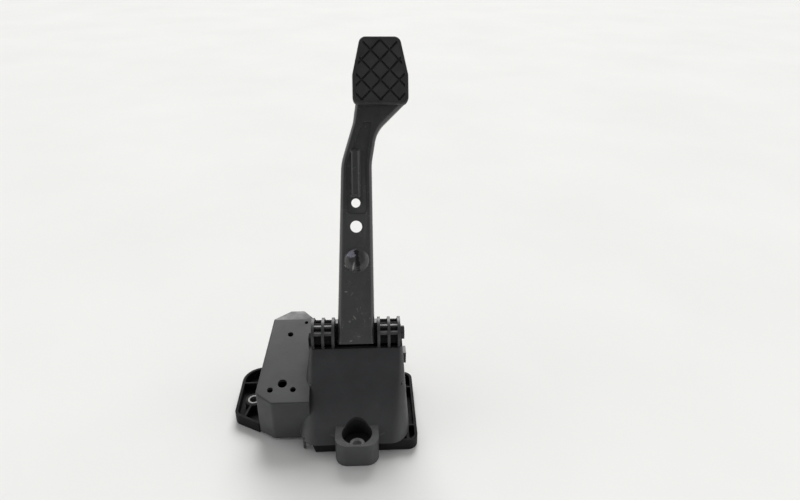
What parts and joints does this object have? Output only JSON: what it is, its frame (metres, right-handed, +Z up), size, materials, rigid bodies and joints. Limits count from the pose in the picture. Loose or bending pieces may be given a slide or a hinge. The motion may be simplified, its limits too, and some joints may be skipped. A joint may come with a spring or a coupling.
{
  "type": "brake pedal",
  "caption": "Car brake pedal: stamped steel arm with a ribbed rubber pad, hinged on a moulded bracket with bolt sleeves.",
  "frame": {"origin": "axis of the front bolt hole on the mounting face", "axes": "+Z up out of the mounting face, +Y away from the driver, +X to the right seen from the driver"},
  "size_m": [0.187, 0.2144, 0.3623],
  "materials": {
    "grey_moulding": "satin",
    "black_moulding": "satin",
    "arm_paint": "gloss",
    "rubber": "matte",
    "steel": "satin",
    "black_steel": "satin",
    "bush_plastic": "satin"
  },
  "bodies": {
    "bracket": {"base_tray": "black_moulding", "bracket_housing": "grey_moulding", "front_sleeve": "steel", "left_sleeve": "steel", "rear_sleeve": "steel", "left_washer": "steel", "right_washer": "black_steel", "pivot_bolt": "black_steel", "pivot_nut": "steel"},
    "pedal": {"pedal_arm": "arm_paint", "pad_rubber": "rubber", "pivot_tube": "arm_paint", "left_bush": "bush_plastic", "right_bush": "bush_plastic", "ball_clip": "bush_plastic"}
  },
  "joints": [
    {"name": "pedal_pivot", "type": "hinge", "parent": "bracket", "child": "pedal", "pos_m": [0, 0.075, 0.09], "axis": [1, 0, 0], "range_deg": [0, 20]}
  ]
}
